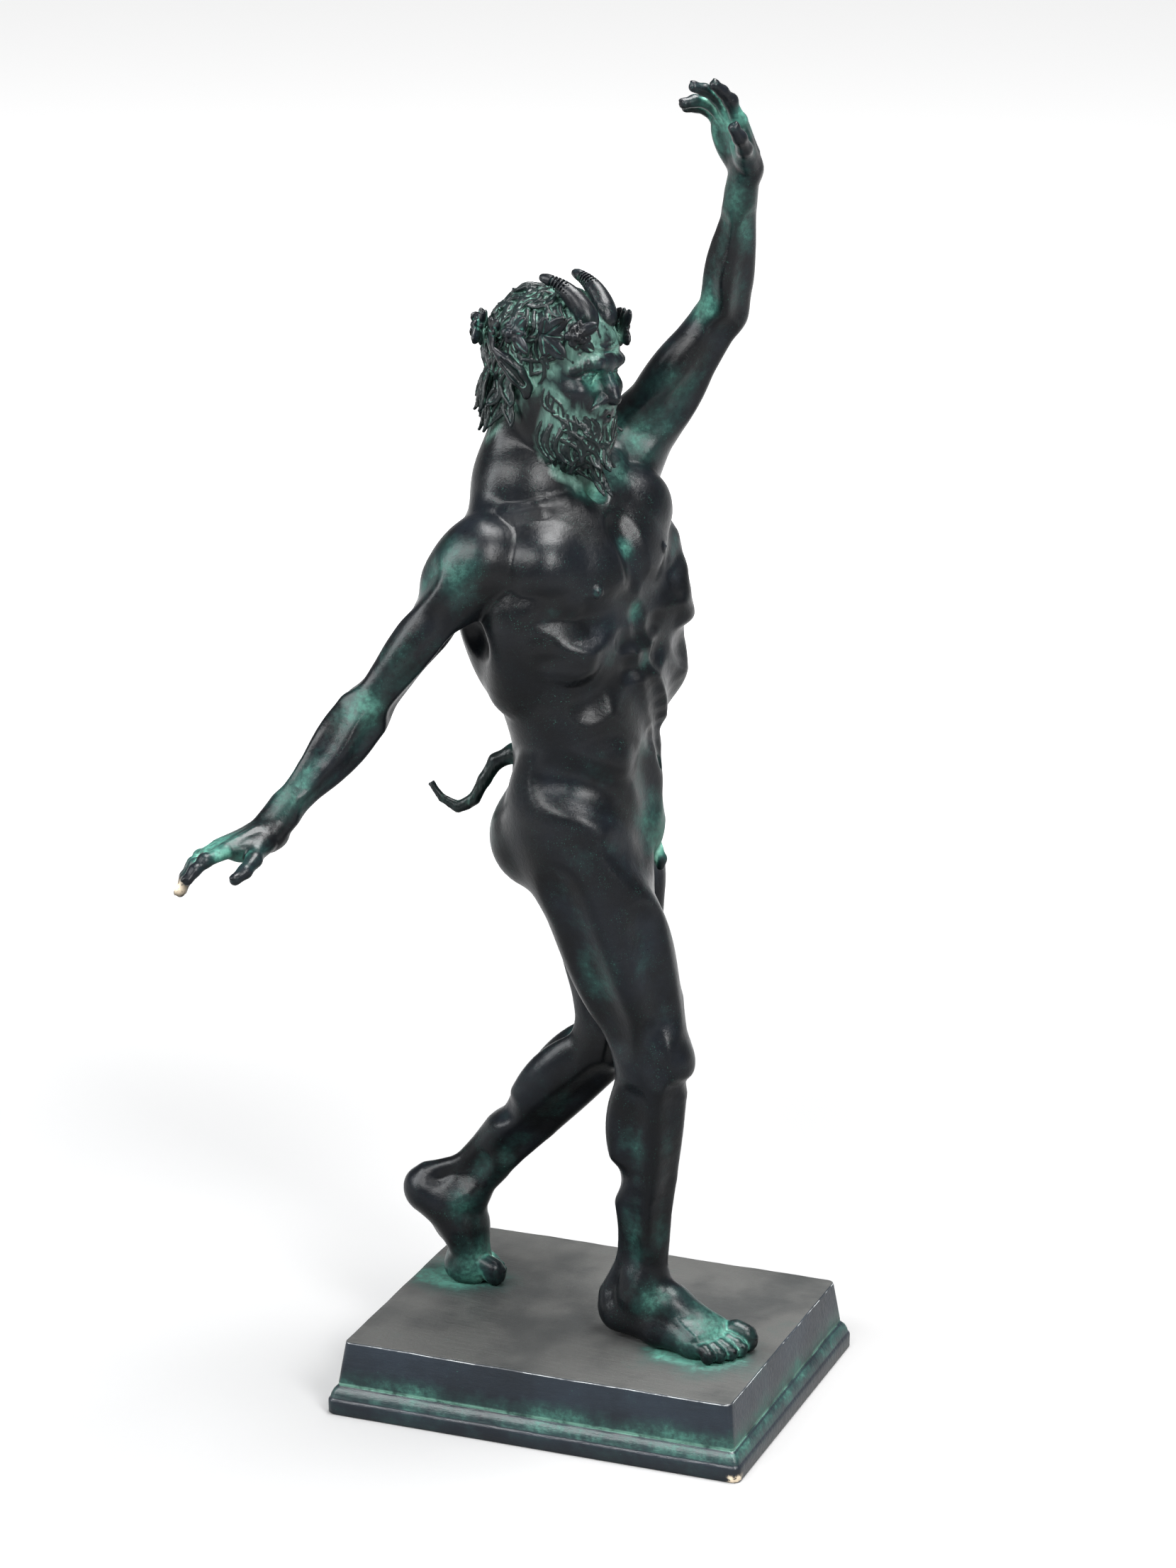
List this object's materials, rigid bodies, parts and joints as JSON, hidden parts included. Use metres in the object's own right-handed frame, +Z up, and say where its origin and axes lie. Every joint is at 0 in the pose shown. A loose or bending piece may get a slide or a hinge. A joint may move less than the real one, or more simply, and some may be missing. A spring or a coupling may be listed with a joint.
{
  "type": "faun statue",
  "caption": "Bearded, horned faun striding on a moulded rectangular plinth, one arm raised, in dark bronze finish with green patina.",
  "frame": {"origin": "centre of the plinth's underside", "axes": "+Z up, the figure strides toward +X, +Y is the figure's left"},
  "size_m": [0.3117, 0.3223, 0.8005],
  "materials": {
    "patinated_figure": "satin bronze-coloured paint with green patina on cast composition",
    "patinated_plinth": "satin bronze-coloured paint with green patina on cast composition"
  },
  "bodies": {
    "root": {"faun_figure": "patinated_figure", "plinth": "patinated_plinth"}
  },
  "joints": []
}
